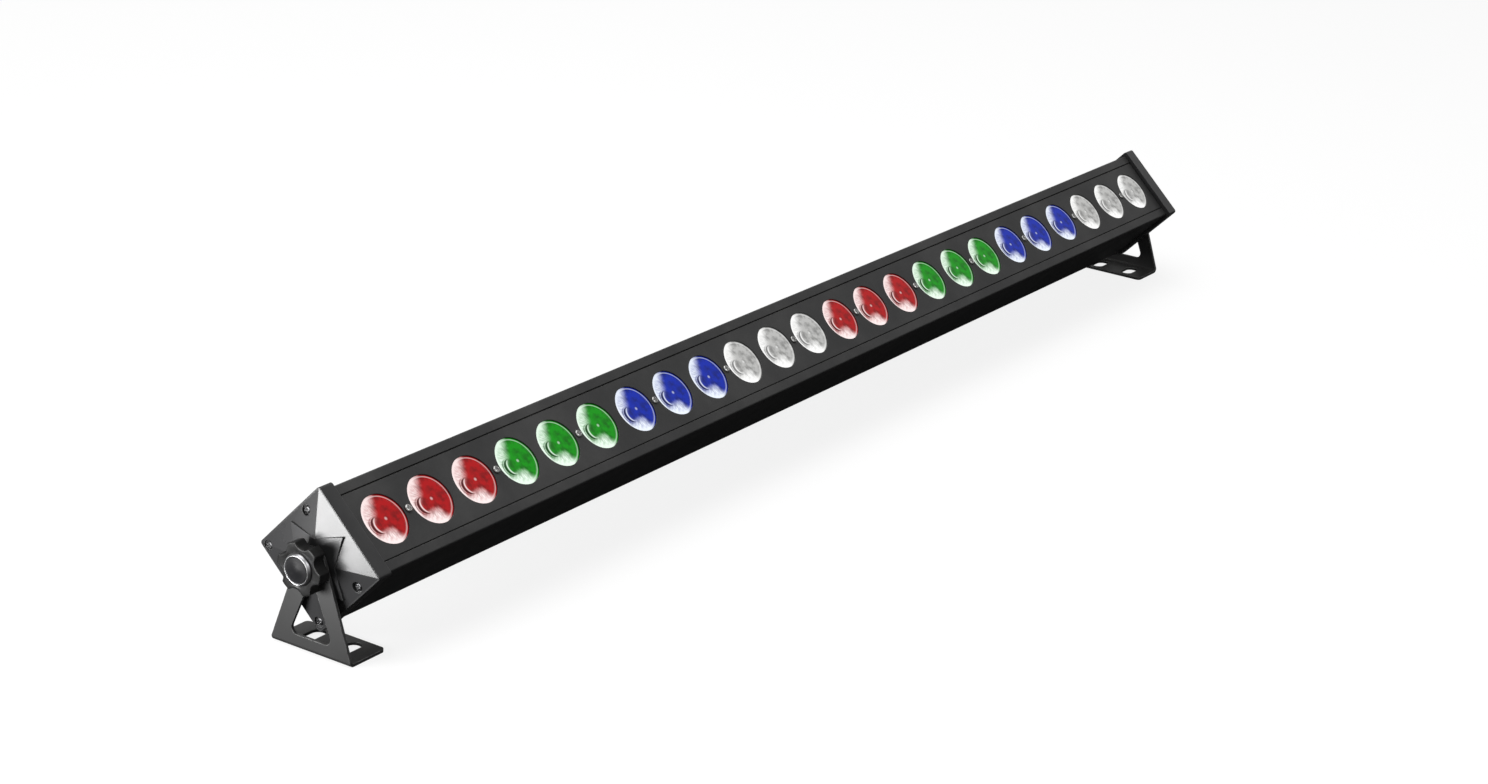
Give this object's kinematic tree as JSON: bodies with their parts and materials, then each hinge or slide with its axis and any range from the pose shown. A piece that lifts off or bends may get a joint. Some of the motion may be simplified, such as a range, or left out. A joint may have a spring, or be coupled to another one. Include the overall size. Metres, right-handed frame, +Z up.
{
  "type": "led strip batten",
  "caption": "Long square light batten with a row of coloured round lenses, faceted end caps, and slotted foot brackets clamped by lobed knobs.",
  "frame": {"origin": "on the floor, midway between the two feet, straight below the tilt axis", "axes": "+X along the batten towards the right-hand end cap as seen from the lens side, -Y towards the side that the lenses face, +Z up"},
  "size_m": [1.0514, 0.0882, 0.1005],
  "materials": {
    "housing_coat": "extruded aluminium with fine-textured semi-matt black powder coat",
    "panel_coat": "aluminium strip with semi-matt black powder coat",
    "cap_coat": "die-cast aluminium with satin dark grey coat",
    "bracket_coat": "bent steel sheet with satin black powder coat",
    "lens_red": "clear moulded acrylic, red",
    "lens_green": "clear moulded acrylic, green",
    "lens_blue": "clear moulded acrylic, blue",
    "lens_white": "clear moulded acrylic, white",
    "holder_plastic": "moulded black plastic",
    "board_white": "white solder mask on an aluminium core",
    "emitter": "emitter package with a clear dome",
    "screw_steel": "zinc-plated steel",
    "seal_rubber": "soft black rubber",
    "washer_nylon": "black nylon",
    "knob_plastic": "satin moulded black plastic",
    "button_metal": "bright polished rim round a dark grey satin disc",
    "board_green": "green circuit board with mixed parts",
    "socket_plastic": "moulded black plastic",
    "socket_metal": "nickel-plated shell",
    "window_dark": "smoked acrylic window",
    "key_plastic": "grey moulded plastic"
  },
  "bodies": {
    "batten": {"lens_01": "lens_red", "lens_02": "lens_red", "lens_03": "lens_red", "lens_04": "lens_green", "lens_05": "lens_green", "lens_06": "lens_green", "lens_07": "lens_blue", "lens_08": "lens_blue", "lens_09": "lens_blue", "lens_10": "lens_white", "lens_11": "lens_white", "lens_12": "lens_white", "lens_13": "lens_red", "lens_14": "lens_red", "lens_15": "lens_red", "lens_16": "lens_green", "lens_17": "lens_green", "lens_18": "lens_green", "lens_19": "lens_blue", "lens_20": "lens_blue", "lens_21": "lens_blue", "lens_22": "lens_white", "lens_23": "lens_white", "lens_24": "lens_white", "housing": "housing_coat", "front_panel": "panel_coat", "lens_holders": "holder_plastic", "led_board": "board_white", "led_emitters": "emitter", "panel_screws": "screw_steel", "end_cap_left": "cap_coat", "end_cap_right": "cap_coat", "end_gaskets": "seal_rubber", "end_cap_screws": "screw_steel", "pivot_washers_left": "washer_nylon", "pivot_washers_right": "washer_nylon", "clamp_nut_left": "screw_steel", "clamp_nut_right": "screw_steel", "power_supply": "board_green", "control_board": "board_green", "rear_panel": "panel_coat", "rear_panel_screws": "screw_steel", "power_inlet": "socket_plastic", "data_in_socket": "socket_metal", "data_out_socket": "socket_metal", "display_window": "window_dark"},
    "bracket_left": {"bracket_left": "bracket_coat"},
    "knob_left": {"knob_left": "knob_plastic", "knob_stud_left": "screw_steel", "knob_button_left": "button_metal"},
    "bracket_right": {"bracket_right": "bracket_coat"},
    "knob_right": {"knob_right": "knob_plastic", "knob_stud_right": "screw_steel", "knob_button_right": "button_metal"},
    "key_menu": {"key_menu": "key_plastic"},
    "key_up": {"key_up": "key_plastic"},
    "key_down": {"key_down": "key_plastic"},
    "key_enter": {"key_enter": "key_plastic"}
  },
  "joints": [
    {"name": "bracket_left_tilt", "type": "hinge", "parent": "batten", "child": "bracket_left", "pos_m": [-0.5113, 0, 0.0564], "axis": [1, 0, 0], "continuous": true},
    {"name": "bracket_right_tilt", "type": "hinge", "parent": "batten", "child": "bracket_right", "pos_m": [0.5113, 0, 0.0564], "axis": [1, 0, 0], "continuous": true},
    {"name": "knob_left_turn", "type": "hinge", "parent": "batten", "child": "knob_left", "pos_m": [-0.518, 0, 0.0564], "axis": [-1, 0, 0], "range_deg": [0, 720]},
    {"name": "knob_right_turn", "type": "hinge", "parent": "batten", "child": "knob_right", "pos_m": [0.518, 0, 0.0564], "axis": [1, 0, 0], "range_deg": [0, 720]},
    {"name": "key_menu_press", "type": "slide", "parent": "batten", "child": "key_menu", "axis": [0, -0.6871, 0.7266], "range_m": [0, 0.0015], "stiffness_N_per_m": 300},
    {"name": "key_up_press", "type": "slide", "parent": "batten", "child": "key_up", "axis": [0, -0.6871, 0.7266], "range_m": [0, 0.0015], "stiffness_N_per_m": 300},
    {"name": "key_down_press", "type": "slide", "parent": "batten", "child": "key_down", "axis": [0, -0.6871, 0.7266], "range_m": [0, 0.0015], "stiffness_N_per_m": 300},
    {"name": "key_enter_press", "type": "slide", "parent": "batten", "child": "key_enter", "axis": [0, -0.6871, 0.7266], "range_m": [0, 0.0015], "stiffness_N_per_m": 300}
  ]
}
